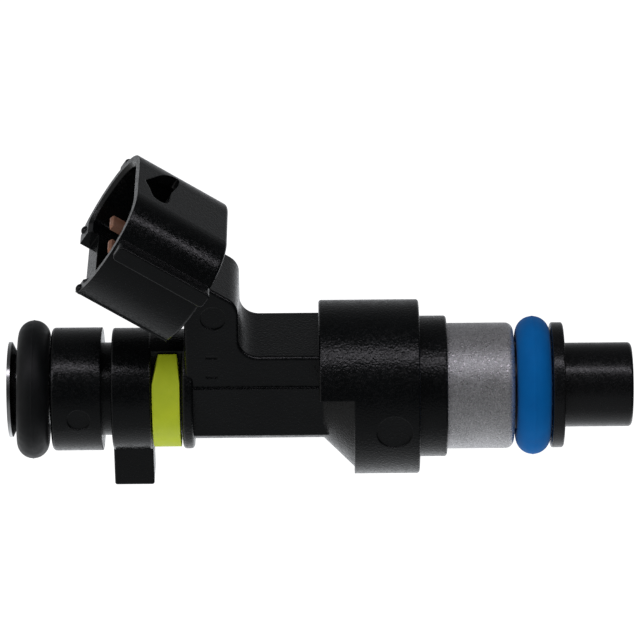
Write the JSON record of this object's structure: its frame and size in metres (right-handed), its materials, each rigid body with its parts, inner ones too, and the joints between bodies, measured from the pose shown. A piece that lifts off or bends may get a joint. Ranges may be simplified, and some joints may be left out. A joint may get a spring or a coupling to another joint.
{
  "type": "fuel injector",
  "caption": "Top-feed fuel injector: stepped round body, tilted oval electrical connector on a neck, sprung needle valve inside, soft seal rings at the ends and a coloured code ring.",
  "frame": {"origin": "on the injector axis at the root of the nozzle cap's sleeve", "axes": "+X along the injector towards the nozzle tip, +Z towards the connector side, Y across"},
  "size_m": [0.0647, 0.0192, 0.0355],
  "materials": {
    "black_resin": "fine spark texture, semi matte",
    "bright_steel": "bright drawn",
    "black_rubber": "smooth satin",
    "brass": "turned",
    "pale_nylon": "moulded",
    "steel_mesh": "woven",
    "machined_steel": "turned",
    "spring_wire": "drawn",
    "ball_steel": "polished",
    "copper_wire": "enamelled copper",
    "blasted_steel": "fine bead blast",
    "terminal_bronze": "rolled strip",
    "lime_plastic": "moulded",
    "blue_rubber": "smooth satin",
    "gloss_black": "smooth gloss"
  },
  "bodies": {
    "injector": {"resin_body": "black_resin", "inlet_tube": "bright_steel", "rail_o_ring": "black_rubber", "filter_collar": "brass", "filter_cage": "pale_nylon", "filter_mesh": "steel_mesh", "stator_core": "machined_steel", "spring_adjuster": "machined_steel", "return_spring": "spring_wire", "valve_body": "machined_steel", "valve_seat": "machined_steel", "guide_disc": "machined_steel", "orifice_plate": "machined_steel", "flux_break_ring": "machined_steel", "coil_bobbin": "pale_nylon", "coil_winding": "copper_wire", "yoke_housing": "blasted_steel", "yoke_plate": "machined_steel", "terminal_near": "terminal_bronze", "terminal_far": "terminal_bronze", "colour_ring": "lime_plastic", "manifold_o_ring": "blue_rubber", "nozzle_cap": "gloss_black"},
    "needle": {"armature": "machined_steel", "needle_tube": "machined_steel", "valve_ball": "ball_steel"}
  },
  "joints": [
    {"name": "needle_lift", "type": "slide", "parent": "injector", "child": "needle", "axis": [-1, 0, 0], "range_m": [0, 0.00015], "stiffness_N_per_m": 2000, "springref_m": -0.0015, "deforming": ["return_spring"]}
  ]
}
